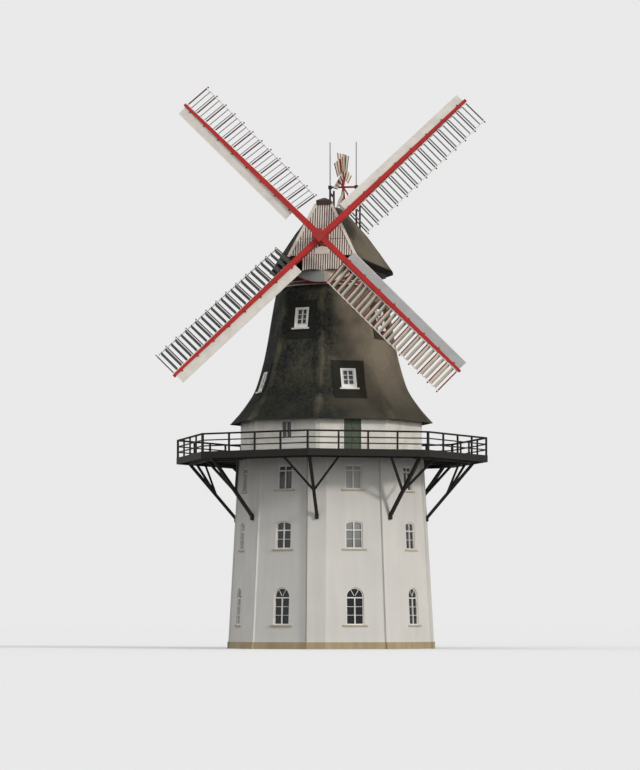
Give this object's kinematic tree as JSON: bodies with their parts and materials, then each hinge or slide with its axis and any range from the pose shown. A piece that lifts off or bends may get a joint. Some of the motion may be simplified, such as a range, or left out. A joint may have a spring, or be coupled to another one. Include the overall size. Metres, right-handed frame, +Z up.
{
  "type": "gallery_smock_mill",
  "caption": "Thatched smock windmill on a white rendered octagonal base, with a timber gallery, shuttered sails, a boat-shaped cap and a fantail",
  "frame": {"origin": "on the ground at the middle of the tower", "axes": "+Z up through the tower, -Y to the side the sails face, +X to the right of someone who faces the sails"},
  "size_m": [19.4994, 19.0738, 34.0394],
  "materials": {
    "plinth_stone": "matt painted masonry",
    "render": "matt lime render",
    "sill_stone": "matt painted stone",
    "window_wood": "satin white paint",
    "door_green": "satin dark green paint",
    "weatherboard": "matt white paint",
    "gallery_timber": "weathered dark stain",
    "floor_boards": "bare softwood",
    "curb_timber": "weathered dark stain",
    "gable_boards": "matt paint in upright stripes",
    "hood_timber": "weathered dark boards",
    "apron_boards": "matt pale grey paint",
    "stock_red": "satin red paint",
    "sail_white": "satin off-white paint",
    "shutter_white": "satin off-white paint",
    "fan_white": "satin off-white paint",
    "fan_red": "satin dark red paint",
    "fan_timber": "weathered dark stain",
    "thatch": "rough cut reed",
    "glass": "clear window glass",
    "shaft_iron": "matt dark red paint",
    "rod_metal": "satin dark paint",
    "pipe_metal": "dull grey paint"
  },
  "bodies": {
    "tower": {"plinth_sides": "plinth_stone", "plinth_corners": "plinth_stone", "base_walls": "render", "corner_pilasters": "render", "base_window_frames": "window_wood", "window_sills": "sill_stone", "entrance_frame": "window_wood", "entrance_door": "door_green", "upper_walls": "weatherboard", "upper_corner_posts": "weatherboard", "gallery_doors": "door_green", "gallery_window_frames": "window_wood", "ground_floor": "plinth_stone", "base_floors": "floor_boards", "smock_floors": "floor_boards", "smock_thatch_lower_windows": "thatch", "smock_thatch_upper_windows": "thatch", "smock_window_frames": "window_wood", "window_glass": "glass", "gallery_deck": "gallery_timber", "gallery_corner_beams": "gallery_timber", "gallery_joists": "gallery_timber", "gallery_ring_beams": "gallery_timber", "gallery_fascias": "gallery_timber", "gallery_struts": "gallery_timber", "gallery_corner_posts": "gallery_timber", "gallery_railing": "gallery_timber", "rain_pipe": "pipe_metal", "curb_ring": "curb_timber"},
    "cap": {"cap_ring": "curb_timber", "cap_soffit": "curb_timber", "cap_beams": "curb_timber", "cap_thatch_right": "thatch", "cap_thatch_left": "thatch", "gable_boards": "gable_boards", "gable_hood": "hood_timber", "curb_apron": "apron_boards", "shaft_bearings": "curb_timber", "fan_frames": "fan_timber", "fan_rods": "rod_metal"},
    "sails": {"windshaft": "shaft_iron", "stock_front": "stock_red", "stock_rear": "stock_red", "sail_frame_upper_left": "sail_white", "sail_frame_upper_right": "sail_white", "sail_frame_lower_right": "sail_white", "sail_frame_lower_left": "sail_white", "shutters_upper_left": "shutter_white", "shutters_upper_right": "shutter_white", "shutters_lower_right": "shutter_white", "shutters_lower_left": "shutter_white", "leading_boards": "sail_white"},
    "fan": {"fan_hub": "fan_red", "fan_blades": "fan_white"}
  },
  "joints": [
    {"name": "cap_turn", "type": "hinge", "parent": "tower", "child": "cap", "pos_m": [0, 0, 22.4], "axis": [0, 0, 1], "continuous": true},
    {"name": "sails_turn", "type": "hinge", "parent": "cap", "child": "sails", "pos_m": [0, -4.5, 24.5], "axis": [0, -0.9781, 0.2079], "continuous": true},
    {"name": "fan_turn", "type": "hinge", "parent": "cap", "child": "fan", "pos_m": [0, 5.4, 28.8], "axis": [1, 0, 0], "continuous": true}
  ]
}
